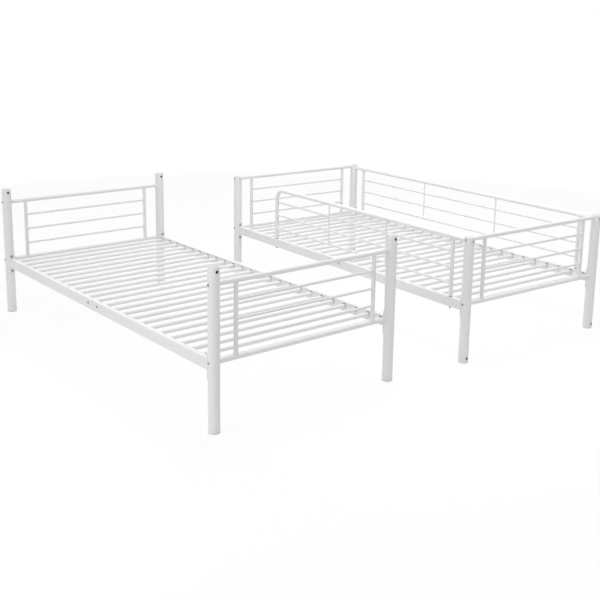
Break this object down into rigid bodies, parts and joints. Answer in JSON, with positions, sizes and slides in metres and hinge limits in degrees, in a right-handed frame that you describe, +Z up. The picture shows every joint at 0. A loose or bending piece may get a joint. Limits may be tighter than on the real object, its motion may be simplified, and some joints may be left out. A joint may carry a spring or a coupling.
{
  "type": "bunk bed",
  "caption": "White tubular steel bunk bed taken apart into two single beds side by side, the upper one with guardrails and an entry gap.",
  "frame": {"origin": "bottom centre of the box round both beds, on the floor", "axes": "+X along the beds from head to foot, +Y from the lower bed to the upper bed, +Z up"},
  "size_m": [2.1831, 2.5487, 0.698],
  "materials": {
    "white_steel": "satin",
    "zinc_fasteners": "satin",
    "plastic_caps": "matte"
  },
  "bodies": {
    "root": {"lower_post_head_near": "white_steel", "lower_post_head_far": "white_steel", "lower_post_foot_near": "white_steel", "lower_post_foot_far": "white_steel", "upper_post_head_near": "white_steel", "upper_post_head_far": "white_steel", "upper_post_foot_near": "white_steel", "upper_post_foot_far": "white_steel", "lower_head_top_tube": "white_steel", "lower_head_bottom_tube": "white_steel", "lower_head_uprights": "white_steel", "lower_head_rods": "white_steel", "lower_foot_top_tube": "white_steel", "lower_foot_bottom_tube": "white_steel", "lower_foot_uprights": "white_steel", "lower_foot_rods": "white_steel", "upper_head_top_tube": "white_steel", "upper_head_bottom_tube": "white_steel", "upper_head_uprights": "white_steel", "upper_head_rods": "white_steel", "upper_foot_top_tube": "white_steel", "upper_foot_bottom_tube": "white_steel", "upper_foot_uprights": "white_steel", "upper_foot_rods": "white_steel", "lower_rail_head_near": "white_steel", "lower_rail_head_far": "white_steel", "lower_rail_foot_near": "white_steel", "lower_rail_foot_far": "white_steel", "upper_rail_head_near": "white_steel", "upper_rail_head_far": "white_steel", "upper_rail_foot_near": "white_steel", "upper_rail_foot_far": "white_steel", "lower_head_slats": "white_steel", "lower_foot_slats": "white_steel", "upper_head_slats": "white_steel", "upper_foot_slats": "white_steel", "rail_splice_plates": "zinc_fasteners", "lower_corner_brackets": "white_steel", "upper_corner_brackets": "white_steel", "far_guard_top_tube": "white_steel", "far_guard_uprights": "white_steel", "far_guard_rods": "white_steel", "far_guard_spacers": "white_steel", "near_guard_bent_tube": "white_steel", "near_guard_upright": "white_steel", "near_guard_rods": "white_steel", "near_guard_spacers": "white_steel", "frame_bolts": "zinc_fasteners", "frame_tube_plugs": "zinc_fasteners", "bracket_bolts": "zinc_fasteners", "bracket_inserts": "zinc_fasteners", "seam_bolts": "zinc_fasteners", "seam_slat_plugs": "zinc_fasteners", "guard_post_bolts": "zinc_fasteners", "guard_studs": "zinc_fasteners", "guard_cap_nuts": "zinc_fasteners", "guard_plugs": "zinc_fasteners", "foot_caps": "plastic_caps", "post_end_caps": "plastic_caps"}
  },
  "joints": []
}
